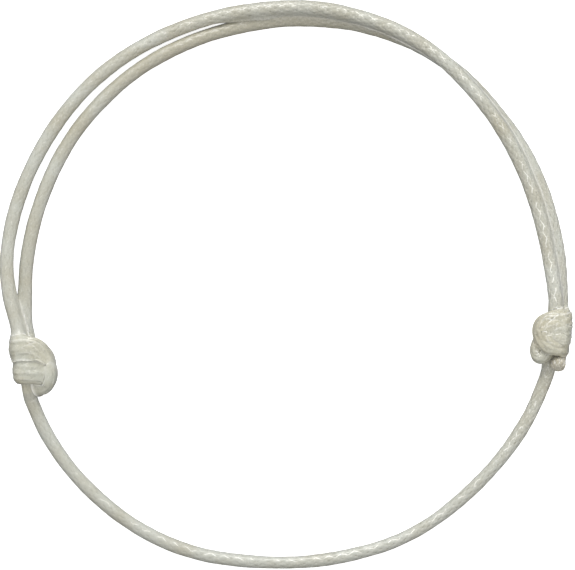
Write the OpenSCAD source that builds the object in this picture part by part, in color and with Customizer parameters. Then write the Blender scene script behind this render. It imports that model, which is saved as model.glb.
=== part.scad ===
// Adjustable bracelet made of one braided cord, lying flat.
// The cord passes twice over the top of the loop and once round the bottom.
// Each of its ends is tied round the run that passes through it, as a sliding knot.
// X points right, Y to the top of the loop and Z up from the surface it lies on.

/* [Cord] */
// Diameter of the cord where it is not pressed
cord_d = 1.5; // [1.2:0.1:1.6]
// Sides of the tubes that stand for the straight runs
run_sides = 8; // [8:2:12]

/* [Loop] */
// Diameter of the loop along the middle of the cord
loop_d = 60; // [56:1:70]

/* [Knots] */
// Width of a wrap once it is pulled tight, in cord diameters
wrap_width = 1.45; // [1.1:0.05:1.5]
// Thickness of a wrap once it is pulled tight, in cord diameters
wrap_thickness = 0.7; // [0.7:0.05:0.75]
// Sides of the tubes in the knots
knot_sides = 10; // [8:2:14]
// Angle of the left knot round the loop
left_angle = 198; // [197:0.5:199]
// Angle of the right knot round the loop
right_angle = -11.6; // [-13:0.2:-10.6]

/* [Hidden] */

cord_colour = "#c8c6b9";
knot_colour = "#cecbbe";
end_colour = "#bfbba8";

// The tables below hold millimetres for a cord of this diameter and scale with it
table_cord_d = 1.5;
size = cord_d / table_cord_d;
loop_r = loop_d / 2;

// Height of the middle of a knot, and where its middle line lies beside its centre
core_height = 2.05;
left_core_x = -0.2;
right_core_x = 0.2;
left_knot_radius = -1.1;
right_knot_radius = -0.7;

// Double run over the top. Radii are measured from the loop's own radius
// [angle, front radius, front height, back radius, back height]
double_run = [
    [188, -0.2, 2.2, -1.2, 1.1],
    [182, 0.3, 1.75, -1.45, 0.85],
    [175, 0.7, 1.15, -1.5, 0.75],
    [167, 0.75, 0.8, -1.6, 0.75],
    [159, 0.7, 0.75, -1.65, 0.75],
    [151, 0.65, 0.75, -1.6, 0.75],
    [143, 0.65, 0.75, -1.55, 0.75],
    [135, 0.65, 0.75, -1.55, 0.75],
    [127, 0.55, 0.75, -1.5, 0.75],
    [119, 0.4, 0.75, -1.5, 0.75],
    [111, 0.25, 0.95, -1.5, 0.75],
    [104, 0.2, 1.35, -1.45, 0.75],
    [97, 0.15, 1.75, -1.35, 0.75],
    [90, 0.25, 2.05, -1.15, 0.75],
    [83, 0.3, 2.2, -0.95, 0.75],
    [76, 0.25, 2.25, -0.7, 0.75],
    [69, 0.2, 2.3, -0.5, 0.75],
    [62, 0.05, 2.3, -0.3, 0.75],
    [55, -0.25, 2.35, -0.25, 0.75],
    [48, -0.65, 2.3, -0.3, 0.75],
    [41, -0.95, 2.2, -0.4, 0.75],
    [34, -1.2, 2.1, -0.4, 0.75],
    [27, -1.4, 1.9, -0.35, 0.75],
    [20, -1.5, 1.8, -0.35, 0.75],
    [13, -1.5, 1.85, -0.35, 0.75],
    [6, -1.35, 2.0, -0.25, 0.85],
    [-2, -0.85, 2.5, -0.15, 1.1]
];

// Single run round the bottom, from the right knot to the left one
// [angle, radius, height]
lower_run = [
    [-20, -0.05, 0.8],
    [-28, 0.0, 0.75],
    [-36, 0.0, 0.75],
    [-44, 0.0, 0.75],
    [-52, 0.1, 0.75],
    [-60, 0.3, 0.75],
    [-68, 0.35, 0.75],
    [-76, 0.25, 0.75],
    [-84, 0.25, 0.75],
    [-92, 0.3, 0.75],
    [-100, 0.5, 0.75],
    [-108, 0.85, 0.75],
    [-116, 1.05, 0.75],
    [-124, 1.1, 0.75],
    [-132, 1.05, 0.75],
    [-140, 1.0, 0.75],
    [-148, 0.85, 0.9],
    [-155, 0.6, 1.4]
];

// Knot rows are measured from the knot's centre
// [across, along, height, flatness], flatness 0 for round cord, 1 for a tight wrap
// and more where a wrap is spread still wider
right_wraps = [
    [0.45, 3.4, 2.6, 0],
    [0.3, 2.2, 2.3, 0],
    [0.1, 1.0, 2.2, 0],
    [-0.1, -0.2, 2.2, 0],
    [-0.4, -1.2, 2.4, 0],
    [-0.8, -1.9, 2.4, 0],
    [-1.35, -1.9, 2.2, 0],
    [-1.6, -1.1, 1.9, 0.5],
    [-1.2, -0.4, 1.0, 0.7],
    [-0.3, 0.1, 0.6, 1],
    [0.9, 0.5, 0.8, 1],
    [1.75, 0.6, 1.9, 1],
    [1.4, 0.5, 3.0, 1],
    [0.6, 0.6, 3.4, 1],
    [-0.4, 0.7, 3.1, 1],
    [-1.0, 0.9, 2.2, 1],
    [-0.9, 1.3, 1.1, 1],
    [0.0, 1.8, 0.6, 1],
    [1.2, 2.1, 1.0, 1],
    [1.85, 2.15, 2.1, 1],
    [1.3, 2.05, 3.1, 1],
    [0.3, 1.9, 3.6, 1],
    [-0.65, 1.6, 3.5, 1],
    [-1.2, 0.95, 3.2, 1],
    [-0.95, 0.1, 3.3, 1],
    [-0.2, -0.5, 3.5, 1],
    [0.6, -0.7, 3.3, 1],
    [1.3, -0.75, 2.5, 0.9],
    [1.4, -0.85, 1.4, 0.6],
    [1.2, -1.3, 0.9, 0.2],
    [0.95, -1.75, 1.4, 0],
    [0.88, -2.25, 2.0, 0],
    [0.8, -2.75, 2.55, 0]
];
right_core = [
    [1.1, 3.4, 1.25, 0],
    [0.8, 2.2, 1.8, 0],
    [0.6, 1.0, 2.1, 0],
    [0.4, 0.0, 2.1, 0],
    [0.05, -1.0, 1.6, 0],
    [-0.3, -1.9, 1.05, 0],
    [-0.2, -2.9, 0.95, 0]
];
left_wraps = [
    [-0.75, 3.4, 1.3, 0],
    [-0.5, 2.2, 1.9, 0],
    [-0.3, 1.0, 2.1, 0],
    [-0.1, -0.4, 2.1, 0],
    [0.15, -1.55, 2.2, 0],
    [0.7, -2.25, 2.4, 0],
    [1.35, -2.05, 2.5, 0.4],
    [1.75, -1.3, 2.75, 0.7],
    [1.7, -0.4, 2.65, 0.9],
    [1.3, 0.4, 2.2, 0.8],
    [0.8, 0.9, 1.5, 0.8],
    [0.2, 0.9, 0.8, 1],
    [-0.9, 0.3, 0.7, 1],
    [-1.8, -0.4, 1.6, 1.3],
    [-1.75, -0.45, 2.8, 1.5],
    [-0.8, -0.5, 3.4, 1.5],
    [0.4, -0.5, 3.35, 1.5],
    [1.25, -0.4, 2.5, 1.2],
    [1.0, 0.1, 1.1, 1],
    [-0.1, 1.0, 0.65, 1],
    [-1.4, 1.7, 0.8, 1],
    [-2.3, 2.0, 1.9, 1.2],
    [-1.9, 2.0, 3.0, 1.4],
    [-0.8, 2.1, 3.55, 1.5],
    [0.15, 1.9, 3.55, 1.4],
    [1.05, 1.3, 3.05, 1],
    [1.75, 0.4, 2.1, 1],
    [1.45, -0.3, 0.95, 0.9],
    [1.0, -1.1, 0.85, 0.3],
    [0.7, -1.8, 0.78, 0],
    [0.4, -2.5, 0.78, 0]
];
left_core = [
    [-1.65, 3.4, 2.45, 0],
    [-1.2, 2.2, 2.4, 0],
    [-0.9, 1.0, 2.3, 0],
    [-0.8, -0.4, 2.2, 0],
    [-0.75, -1.6, 2.15, 0],
    [-0.6, -2.7, 1.95, 0]
];

// Rows of a wrap table that belong to the sealed end
end_rows = 1;
// Rings between two rows of a table
wrap_steps = 3;
core_steps = 2;
// Size of the needle inside a slice against the cord
spike_size = 0.1;
// Angles at which the rounded tip of a sealed end is cut into rings
tip_angles = [25, 50, 70];

function reversed(rows) = [for (i = [len(rows) - 1:-1:0]) rows[i]];
function unit(v) = v / norm(v);
function on_loop(angle, radius) =
    let (r = loop_r + radius * size) [r * cos(angle), r * sin(angle)];

left_centre = on_loop(left_angle, left_knot_radius);
right_centre = on_loop(right_angle, right_knot_radius);

// A station is [x, y, z, flatness, x of the knot's middle line]
function run_station(angle, radius, height) =
    let (p = on_loop(angle, radius)) [p.x, p.y, height * size, 0, 0];
function knot_stations(rows, centre, core_x) = [
    for (row = rows) [
        centre.x + row[0] * size, centre.y + row[1] * size, row[2] * size, row[3],
        centre.x + core_x * size
    ]
];

back_stations = [for (row = double_run) run_station(row[0], row[3], row[4])];
front_stations = [for (row = double_run) run_station(row[0], row[1], row[2])];
lower_stations = [for (row = lower_run) run_station(row[0], row[1], row[2])];
left_wrap_stations = reversed(knot_stations(left_wraps, left_centre, left_core_x));
left_core_stations = reversed(knot_stations(left_core, left_centre, left_core_x));
right_wrap_stations = knot_stations(right_wraps, right_centre, right_core_x);
right_core_stations = knot_stations(right_core, right_centre, right_core_x);

// The whole cord in order, from the sealed end at the left to the one at the right
stretches = [
    left_wrap_stations, back_stations, right_core_stations, lower_stations,
    left_core_stations, front_stations, right_wrap_stations
];
stations = [for (stretch = stretches) each stretch];
steps = [
    for (i = [0:len(stretches) - 1], j = [0:len(stretches[i]) - 1])
        let (joins_next = j == len(stretches[i]) - 1)
            (i == 0 || i == 6) && !joins_next ? wrap_steps
                : (i == 2 || i == 4) && !joins_next ? core_steps : 1
];
function total(values, count) = count <= 0 ? 0 : values[count - 1] + total(values, count - 1);
function first_row(stretch) = total([for (s = stretches) len(s)], stretch);
// Ring that stands at a row of the whole cord
function ring_at(row) = total(steps, row);

// Smooth curve through four stations, between the second and the third
function curve(a, b, c, d, t) =
    (2 * b + (c - a) * t + (2 * a - 5 * b + 4 * c - d) * t * t
        + (3 * b - a - 3 * c + d) * t * t * t) / 2;
last_row = len(stations) - 1;
centres = [
    for (i = [0:last_row - 1], k = [0:steps[i] - 1])
        curve(
            stations[max(i - 1, 0)], stations[i], stations[i + 1],
            stations[min(i + 2, last_row)], k / steps[i]
        ),
    stations[last_row]
];
last_ring = len(centres) - 1;

function place(s) = [s[0], s[1], s[2]];
tangents = [
    for (i = [0:last_ring])
        unit(place(centres[min(i + 1, last_ring)]) - place(centres[max(i - 1, 0)]))
];
// Side direction of each ring, carried along the cord without twist
function carry(side, tangent) = unit(side - tangent * (side * tangent));
sides = [
    for (
        i = 0, side = carry([0, 0, 1], tangents[0]);
        i <= last_ring;
        side = carry(side, tangents[min(i + 1, last_ring)]), i = i + 1
    ) side
];

// A wrap is pressed flat against the knot: thin outwards from its middle line, wide along it
press_reach = 0.5;
function pressed(direction, ring) =
    let (
        s = centres[ring],
        tangent = tangents[ring],
        away = [s[0] - s[4], 0, s[2] - core_height * size],
        outward = away - tangent * (away * tangent),
        hold = s[3] * min(1, norm(outward) / press_reach),
        normal = norm(outward) > 0 ? unit(outward) : [0, 0, 1],
        along = normal * (direction * normal)
    )
    along * (1 + (wrap_thickness - 1) * min(1, hold))
        + (direction - along) * (1 + (wrap_width - 1) * hold);

function ring_points(ring, count, scale, shift) = [
    for (k = [0:count - 1])
        let (
            angle = 360 * k / count,
            side = sides[ring],
            up = cross(tangents[ring], side)
        )
            place(centres[ring]) + tangents[ring] * shift
                + pressed(side * cos(angle) + up * sin(angle), ring) * scale * cord_d / 2
];

// Closed tube over a list of rings with the same number of points
module skin(rings) {
    count = len(rings[0]);
    last = len(rings) - 1;
    polyhedron(
        points = [for (ring = rings) each ring],
        faces = [
            [for (k = [0:count - 1]) k],
            for (r = [0:last - 1], k = [0:count - 1])
                let (a = r * count + k, b = r * count + (k + 1) % count)
                    [a, a + count, b + count],
            for (r = [0:last - 1], k = [0:count - 1])
                let (a = r * count + k, b = r * count + (k + 1) % count)
                    [a, b + count, b],
            [for (k = [count - 1:-1:0]) last * count + k]
        ]
    );
}

module tube(first, last, count) {
    skin([for (ring = [first:last]) ring_points(ring, count, 1, 0)]);
}

// Sealed end: the last rings of the cord and a rounded tip beyond them
module sealed_end(first, last, direction) {
    body = [for (ring = [first:last]) ring_points(ring, knot_sides, 1, 0)];
    tip_ring = direction > 0 ? last : first;
    tip = [
        for (a = tip_angles)
            ring_points(tip_ring, knot_sides, cos(a), direction * sin(a) * cord_d / 2)
    ];
    skin(direction > 0 ? concat(body, tip) : concat(reversed(tip), body));
}

// A wrap turns more tightly than its own width, so it is built one slice at a time.
// Each slice has a point inside the next one, so that no two of their faces coincide
module slices(first, last) {
    for (ring = [first:last - 1])
        hull() {
            skin([for (i = [0:1]) ring_points(ring + i, knot_sides, 1, 0)]);
            if (ring > first) spike(ring, ring - 1);
            if (ring < last - 1) spike(ring + 1, ring + 2);
        }
}

// Needle from the middle of one ring half way to the next
module spike(ring, next) {
    base = ring_points(ring, 3, spike_size, 0);
    tip = (place(centres[ring]) + place(centres[next])) / 2;
    polyhedron(points = concat(base, [tip]), faces = [[0, 1, 2], [0, 3, 1], [1, 3, 2], [2, 3, 0]]);
}

left_wrap_row = first_row(0) + end_rows;
back_row = first_row(1);
right_core_row = first_row(2);
lower_row = first_row(3);
left_core_row = first_row(4);
front_row = first_row(5);
right_wrap_row = first_row(6);
right_end_row = last_row - end_rows;

module lower_strand() {
    color(cord_colour) tube(ring_at(lower_row - 1), ring_at(left_core_row), run_sides);
}
module front_strand() {
    color(cord_colour) tube(ring_at(front_row - 1), ring_at(right_wrap_row), run_sides);
}
module back_strand() {
    color(cord_colour) tube(ring_at(back_row - 1), ring_at(right_core_row), run_sides);
}
module left_knot() {
    color(knot_colour) union() {
        slices(ring_at(left_wrap_row), ring_at(back_row - 1));
        slices(ring_at(left_core_row), ring_at(front_row - 1));
    }
}
module right_knot() {
    color(knot_colour) union() {
        slices(ring_at(right_wrap_row), ring_at(right_end_row));
        slices(ring_at(right_core_row), ring_at(lower_row - 1));
    }
}
module left_sealed_end() {
    color(end_colour) sealed_end(0, ring_at(left_wrap_row), -1);
}
module right_sealed_end() {
    color(end_colour) sealed_end(ring_at(right_end_row), last_ring, 1);
}

lower_strand();
front_strand();
back_strand();
left_knot();
right_knot();
left_sealed_end();
right_sealed_end();
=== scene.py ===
"""Looks of an adjustable bracelet: one braided and waxed cord, tied with two sliding knots.

The cord follows one route from its left sealed end to its right one. Seven pieces lie along that
route, and each stands for one node of the frame. The tables hold millimetres, as the part's
source does, and the route turns them to metres.
"""

import logging
import math
from dataclasses import dataclass, field
from enum import Enum
from functools import cached_property, partial

import bmesh
import bpy
import numpy as np
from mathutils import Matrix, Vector
from mathutils.bvhtree import BVHTree


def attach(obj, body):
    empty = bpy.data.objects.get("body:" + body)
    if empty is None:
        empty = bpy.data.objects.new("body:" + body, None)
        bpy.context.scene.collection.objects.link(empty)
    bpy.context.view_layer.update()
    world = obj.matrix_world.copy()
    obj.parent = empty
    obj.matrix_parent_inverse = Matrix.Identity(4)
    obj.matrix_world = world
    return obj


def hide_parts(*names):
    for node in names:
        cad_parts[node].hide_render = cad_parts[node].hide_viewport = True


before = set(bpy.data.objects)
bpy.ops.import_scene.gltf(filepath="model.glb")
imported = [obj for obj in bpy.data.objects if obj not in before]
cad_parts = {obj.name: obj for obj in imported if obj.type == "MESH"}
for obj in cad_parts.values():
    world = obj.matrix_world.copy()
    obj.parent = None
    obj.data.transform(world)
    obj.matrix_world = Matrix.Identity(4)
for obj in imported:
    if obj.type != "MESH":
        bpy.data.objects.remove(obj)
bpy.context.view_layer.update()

log = logging.getLogger("bracelet")

MM = 0.001
BODY = "root"
# Names of the mesh's own data: how clearly the braid shows, where a highlight is painted white
# on the side that faces the light, where highlights are painted on crests and light into grooves,
# how yellow the wax is together with painted shade, and a place's two numbers in the braid
SHOWS = "shows"
PAINTED_HIGHLIGHT = "highlight_white"
PAINTED_LIGHT = "painted_light"
YELLOW_AND_SHADE = "yellowed_and_shaded"
CROSSING = "crossing"

# Double run over the top. Radii are measured from the loop's own radius
# (angle, front radius, front height, back radius, back height)
DOUBLE_RUN = (
    (188, -0.2, 2.2, -1.2, 1.1),
    (182, 0.3, 1.75, -1.45, 0.85),
    (175, 0.7, 1.15, -1.5, 0.75),
    (167, 0.75, 0.8, -1.6, 0.75),
    (159, 0.7, 0.75, -1.65, 0.75),
    (151, 0.65, 0.75, -1.6, 0.75),
    (143, 0.65, 0.75, -1.55, 0.75),
    (135, 0.65, 0.75, -1.55, 0.75),
    (127, 0.55, 0.75, -1.5, 0.75),
    (119, 0.4, 0.75, -1.5, 0.75),
    (111, 0.25, 0.95, -1.5, 0.75),
    (104, 0.2, 1.35, -1.45, 0.75),
    (97, 0.15, 1.75, -1.35, 0.75),
    (90, 0.25, 2.05, -1.15, 0.75),
    (83, 0.3, 2.2, -0.95, 0.75),
    (76, 0.25, 2.25, -0.7, 0.75),
    (69, 0.2, 2.3, -0.5, 0.75),
    (62, 0.05, 2.3, -0.3, 0.75),
    (55, -0.25, 2.35, -0.25, 0.75),
    (48, -0.65, 2.3, -0.3, 0.75),
    (41, -0.95, 2.2, -0.4, 0.75),
    (34, -1.2, 2.1, -0.4, 0.75),
    (27, -1.4, 1.9, -0.35, 0.75),
    (20, -1.5, 1.8, -0.35, 0.75),
    (13, -1.5, 1.85, -0.35, 0.75),
    (6, -1.35, 2.0, -0.25, 0.85),
    (-2, -0.85, 2.5, -0.15, 1.1),
)

# Single run round the bottom, from the right knot to the left one
# (angle, radius, height)
LOWER_RUN = (
    (-20, -0.05, 0.8),
    (-28, 0.0, 0.75),
    (-36, 0.0, 0.75),
    (-44, 0.0, 0.75),
    (-52, 0.1, 0.75),
    (-60, 0.3, 0.75),
    (-68, 0.35, 0.75),
    (-76, 0.25, 0.75),
    (-84, 0.25, 0.75),
    (-92, 0.3, 0.75),
    (-100, 0.5, 0.75),
    (-108, 0.85, 0.75),
    (-116, 1.05, 0.75),
    (-124, 1.1, 0.75),
    (-132, 1.05, 0.75),
    (-140, 1.0, 0.75),
    (-148, 0.85, 0.9),
    (-155, 0.6, 1.4),
)

# Knot rows are measured from the knot's centre
# (across, along, height, flatness), flatness 0 for round cord, 1 for a tight wrap
# and more where a wrap is spread still wider
RIGHT_WRAPS = (
    (0.45, 3.4, 2.6, 0),
    (0.3, 2.2, 2.3, 0),
    (0.1, 1.0, 2.2, 0),
    (-0.1, -0.2, 2.2, 0),
    (-0.4, -1.2, 2.4, 0),
    (-0.8, -1.9, 2.4, 0),
    (-1.35, -1.9, 2.2, 0),
    (-1.6, -1.1, 1.9, 0.5),
    (-1.2, -0.4, 1.0, 0.7),
    (-0.3, 0.1, 0.6, 1),
    (0.9, 0.5, 0.8, 1),
    (1.75, 0.6, 1.9, 1),
    (1.4, 0.5, 3.0, 1),
    (0.6, 0.6, 3.4, 1),
    (-0.4, 0.7, 3.1, 1),
    (-1.0, 0.9, 2.2, 1),
    (-0.9, 1.3, 1.1, 1),
    (0.0, 1.8, 0.6, 1),
    (1.2, 2.1, 1.0, 1),
    (1.85, 2.15, 2.1, 1),
    (1.3, 2.05, 3.1, 1),
    (0.3, 1.9, 3.6, 1),
    (-0.65, 1.6, 3.5, 1),
    (-1.2, 0.95, 3.2, 1),
    (-0.95, 0.1, 3.3, 1),
    (-0.2, -0.5, 3.5, 1),
    (0.6, -0.7, 3.3, 1),
    (1.3, -0.75, 2.5, 0.9),
    (1.4, -0.85, 1.4, 0.6),
    (1.2, -1.3, 0.9, 0.2),
    (0.95, -1.75, 1.4, 0),
    (0.88, -2.25, 2.0, 0),
    (0.8, -2.75, 2.55, 0),
)
RIGHT_CORE = (
    (1.1, 3.4, 1.25, 0),
    (0.8, 2.2, 1.8, 0),
    (0.6, 1.0, 2.1, 0),
    (0.4, 0.0, 2.1, 0),
    (0.05, -1.0, 1.6, 0),
    (-0.3, -1.9, 1.05, 0),
    (-0.2, -2.9, 0.95, 0),
)
LEFT_WRAPS = (
    (-0.75, 3.4, 1.3, 0),
    (-0.5, 2.2, 1.9, 0),
    (-0.3, 1.0, 2.1, 0),
    (-0.1, -0.4, 2.1, 0),
    (0.15, -1.55, 2.2, 0),
    (0.7, -2.25, 2.4, 0),
    (1.35, -2.05, 2.5, 0.4),
    (1.75, -1.3, 2.75, 0.7),
    (1.7, -0.4, 2.65, 0.9),
    (1.3, 0.4, 2.2, 0.8),
    (0.8, 0.9, 1.5, 0.8),
    (0.2, 0.9, 0.8, 1),
    (-0.9, 0.3, 0.7, 1),
    (-1.8, -0.4, 1.6, 1.3),
    (-1.75, -0.45, 2.8, 1.5),
    (-0.8, -0.5, 3.4, 1.5),
    (0.4, -0.5, 3.35, 1.5),
    (1.25, -0.4, 2.5, 1.2),
    (1.0, 0.1, 1.1, 1),
    (-0.1, 1.0, 0.65, 1),
    (-1.4, 1.7, 0.8, 1),
    (-2.3, 2.0, 1.9, 1.2),
    (-1.9, 2.0, 3.0, 1.4),
    (-0.8, 2.1, 3.55, 1.5),
    (0.15, 1.9, 3.55, 1.4),
    (1.05, 1.3, 3.05, 1),
    (1.75, 0.4, 2.1, 1),
    (1.45, -0.3, 0.95, 0.9),
    (1.0, -1.1, 0.85, 0.3),
    (0.7, -1.8, 0.78, 0),
    (0.4, -2.5, 0.78, 0),
)
LEFT_CORE = (
    (-1.65, 3.4, 2.45, 0),
    (-1.2, 2.2, 2.4, 0),
    (-0.9, 1.0, 2.3, 0),
    (-0.8, -0.4, 2.2, 0),
    (-0.75, -1.6, 2.15, 0),
    (-0.6, -2.7, 1.95, 0),
)


class Stretch(Enum):
    """The stretches of the cord, in order from the left sealed end to the right one."""

    LEFT_WRAPS = 0
    BACK_RUN = 1
    RIGHT_CORE = 2
    LOWER_RUN = 3
    LEFT_CORE = 4
    FRONT_RUN = 5
    RIGHT_WRAPS = 6


def unit(vectors: np.ndarray) -> np.ndarray:
    """Vectors of length one along the last axis."""
    return vectors / np.maximum(np.linalg.norm(vectors, axis=-1, keepdims=True), 1e-12)


@dataclass(frozen=True)
class Line:
    """Points along a stretch of the cord, a row each.

    Each array has one row per point: its place, the cord's direction there, a side direction that
    is carried along without twist, the flatness, the place of the knot's middle line across, and
    the length of cord before the point.
    """

    place: np.ndarray
    tangent: np.ndarray
    side: np.ndarray
    flatness: np.ndarray
    core_x: np.ndarray
    length: np.ndarray

    def at(self, lengths: np.ndarray) -> "Line":
        """The line read at the given lengths of cord.

        Args:
            lengths: Lengths from the cord's start, in metres.

        Returns:
            A line with one point for each length.
        """

        def read(values: np.ndarray) -> np.ndarray:
            """Values of one array between its points."""
            columns = [np.interp(lengths, self.length, v) for v in np.atleast_2d(values.T)]
            return np.array(columns).T if values.ndim > 1 else columns[0]

        tangent = unit(read(self.tangent))
        side = read(self.side)
        side = unit(side - tangent * (side * tangent).sum(1, keepdims=True))
        return Line(
            read(self.place), tangent, side, read(self.flatness), read(self.core_x), lengths
        )


@dataclass(frozen=True)
class Route:
    """The way of the whole cord, worked out from the loop, the knots and the tables.

    Lengths are in millimetres and angles in degrees, as in the tables.
    """

    loop_d: float = 60.0
    cord_d: float = 1.5
    left_angle: float = 198.0
    left_knot_radius: float = -1.1
    left_core_x: float = -0.2
    right_angle: float = -11.6
    right_knot_radius: float = -0.7
    right_core_x: float = 0.2
    core_height: float = 2.05
    points_per_row: int = 40

    def on_loop(self, angle: float, radius: float) -> tuple[float, float]:
        """The place on the loop at an angle, with its radius measured from the loop's own."""
        r = self.loop_d / 2 + radius
        return r * math.cos(math.radians(angle)), r * math.sin(math.radians(angle))

    def run(self, angle: float, radius: float, height: float) -> tuple[float, ...]:
        """One station of a run: place, flatness and the middle line's place across."""
        return (*self.on_loop(angle, radius), height, 0.0, 0.0)

    def knot(self, rows: tuple, centre: tuple[float, float], core_x: float) -> list:
        """The stations of a knot's rows.

        Args:
            rows: The table's rows.
            centre: The knot's centre.
            core_x: Where the knot's middle line lies beside its centre.

        Returns:
            A station for each row.
        """
        x, y = centre
        return [(x + r[0], y + r[1], r[2], r[3], x + core_x) for r in rows]

    @cached_property
    def stretches(self) -> dict[Stretch, list]:
        """The stations of each stretch, in the cord's order."""
        left = self.on_loop(self.left_angle, self.left_knot_radius)
        right = self.on_loop(self.right_angle, self.right_knot_radius)
        return {
            Stretch.LEFT_WRAPS: self.knot(LEFT_WRAPS, left, self.left_core_x)[::-1],
            Stretch.BACK_RUN: [self.run(a, r, h) for a, _, _, r, h in DOUBLE_RUN],
            Stretch.RIGHT_CORE: self.knot(RIGHT_CORE, right, self.right_core_x),
            Stretch.LOWER_RUN: [self.run(*row) for row in LOWER_RUN],
            Stretch.LEFT_CORE: self.knot(LEFT_CORE, left, self.left_core_x)[::-1],
            Stretch.FRONT_RUN: [self.run(a, r, h) for a, r, h, _, _ in DOUBLE_RUN],
            Stretch.RIGHT_WRAPS: self.knot(RIGHT_WRAPS, right, self.right_core_x),
        }

    def first_row(self, stretch: Stretch) -> int:
        """The number of the first row of a stretch, along the whole cord."""
        return sum(len(rows) for s, rows in self.stretches.items() if s.value < stretch.value)

    @property
    def last_row(self) -> int:
        """The number of the cord's last row."""
        return sum(len(rows) for rows in self.stretches.values()) - 1

    @cached_property
    def line(self) -> Line:
        """The whole cord as close points on one smooth curve through the stations."""
        rows = np.array([s for rows in self.stretches.values() for s in rows])
        rows[:, [0, 1, 2, 4]] *= MM
        before = np.vstack([rows[:1], rows[:-2]])
        after = np.vstack([rows[2:], rows[-1:]])
        t = np.arange(self.points_per_row)[:, None] / self.points_per_row
        pieces = [
            # A Catmull-Rom curve from b to c
            (
                2 * b
                + (c - a) * t
                + (2 * a - 5 * b + 4 * c - d) * t**2
                + (3 * b - a - 3 * c + d) * t**3
            )
            / 2
            for a, b, c, d in zip(before, rows[:-1], rows[1:], after)
        ]
        points = np.vstack([*pieces, rows[-1:]])
        place = points[:, :3]
        tangent = unit(np.gradient(place, axis=0))
        side = np.empty_like(tangent)
        carried = np.array([0.0, 0.0, 1.0])
        for i, along in enumerate(tangent):
            carried = carried - along * (carried @ along)
            carried /= np.linalg.norm(carried)
            side[i] = carried
        steps = np.linalg.norm(np.diff(place, axis=0), axis=1)
        length = np.concatenate([[0.0], np.cumsum(steps)])
        return Line(place, tangent, side, points[:, 3], points[:, 4], length)

    def length_at(self, row: int) -> float:
        """The length of cord before a row, in metres."""
        return float(self.line.length[row * self.points_per_row])

    def between(self, first: int, last: int, pitch: float) -> Line:
        """Rings along the cord from one row to another.

        Args:
            first: The row at which the rings start.
            last: The row at which they end.
            pitch: The most that two rings are apart, in metres.

        Returns:
            The rings as a line.
        """
        start, end = self.length_at(first), self.length_at(last)
        count = math.ceil((end - start) / pitch) + 1
        return self.line.at(np.linspace(start, end, count))


@dataclass(frozen=True)
class Braid:
    """The cord's tubular braid: yarns wound both ways, each over one and under the next.

    A place on the cord has two numbers. The first counts the yarns wound one way and the second
    those wound the other way, so each crossing of two yarns is a square of size one.
    """

    # Yarns wound each way, so a braid of twice as many carriers
    yarns: int = 8
    cord_d: float = 1.5 * MM
    # Length of cord in which a yarn goes once round
    lay: float = 11.5 * MM
    # How far a yarn rises and dips as it passes over and under
    wave: float = 0.015 * MM
    # How high a yarn's rounded back stands above its edges
    crown: float = 0.032 * MM
    # How unequal the yarns stand out, where wax fills the hollows between them, and the numbers
    # from which each yarn draws its own chance at a crossing
    uneven: float = 0.4
    draw: tuple[float, float, float] = (12.9898, 78.233, 43758.5453)

    @property
    def yarn_width(self) -> float:
        """The width of a yarn across its own direction, from one crease to the next."""
        round_way = math.pi * self.cord_d / self.yarns
        along = self.lay / self.yarns
        return round_way * along / math.hypot(round_way, along)

    @property
    def span(self) -> float:
        """The greatest height of the relief above its lowest."""
        return 2 * self.wave + self.crown

    def crossing(self, turn: np.ndarray, length: np.ndarray) -> tuple[np.ndarray, np.ndarray]:
        """The two numbers of a place on the cord.

        Args:
            turn: Places round the cord, in turns.
            length: Places along the cord, in metres.

        Returns:
            The number among the yarns wound one way and among those wound the other way.
        """
        along = length / self.lay
        return self.yarns * (turn + along), self.yarns * (turn - along)

    def relief(self, a: np.ndarray, b: np.ndarray) -> np.ndarray:
        """The height of the braid's relief.

        Args:
            a: The first numbers of the places.
            b: Their second numbers.

        Returns:
            The height at each place above the lowest, in metres.
        """
        k, m = np.floor(a), np.floor(b)
        over = self.wave * np.cos(math.pi * (b - 0.5 - k)) + self.crown * self.back(a - k)
        under = -self.wave * np.cos(math.pi * (a - 0.5 - m)) + self.crown * self.back(b - m)
        of_yarn, of_crossing, spread = self.draw
        chance = np.sin(of_yarn * (k % self.yarns) + of_crossing * (k - m)) * spread
        share = 1 - self.uneven * (chance - np.floor(chance))
        return (np.maximum(over, under) + self.wave) * share

    @staticmethod
    def back(across: np.ndarray) -> np.ndarray:
        """The height of a yarn's rounded back, from 0 at its edges to 1 at its middle."""
        return np.sqrt(np.maximum(0.0, 1 - (2 * across - 1) ** 2))


# How far wax rounds off the groove between the two runs of the double stretch, in millimetres, as
# stops from the left knot to the right one: most of all where they cross at the top
SIDE_BY_SIDE = (
    (0.06, 1.0), (0.1, 0.5), (0.2, 0.15), (0.43, 0.2), (0.5, 1.5), (0.6, 1.4), (0.7, 1.0)
)


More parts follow.
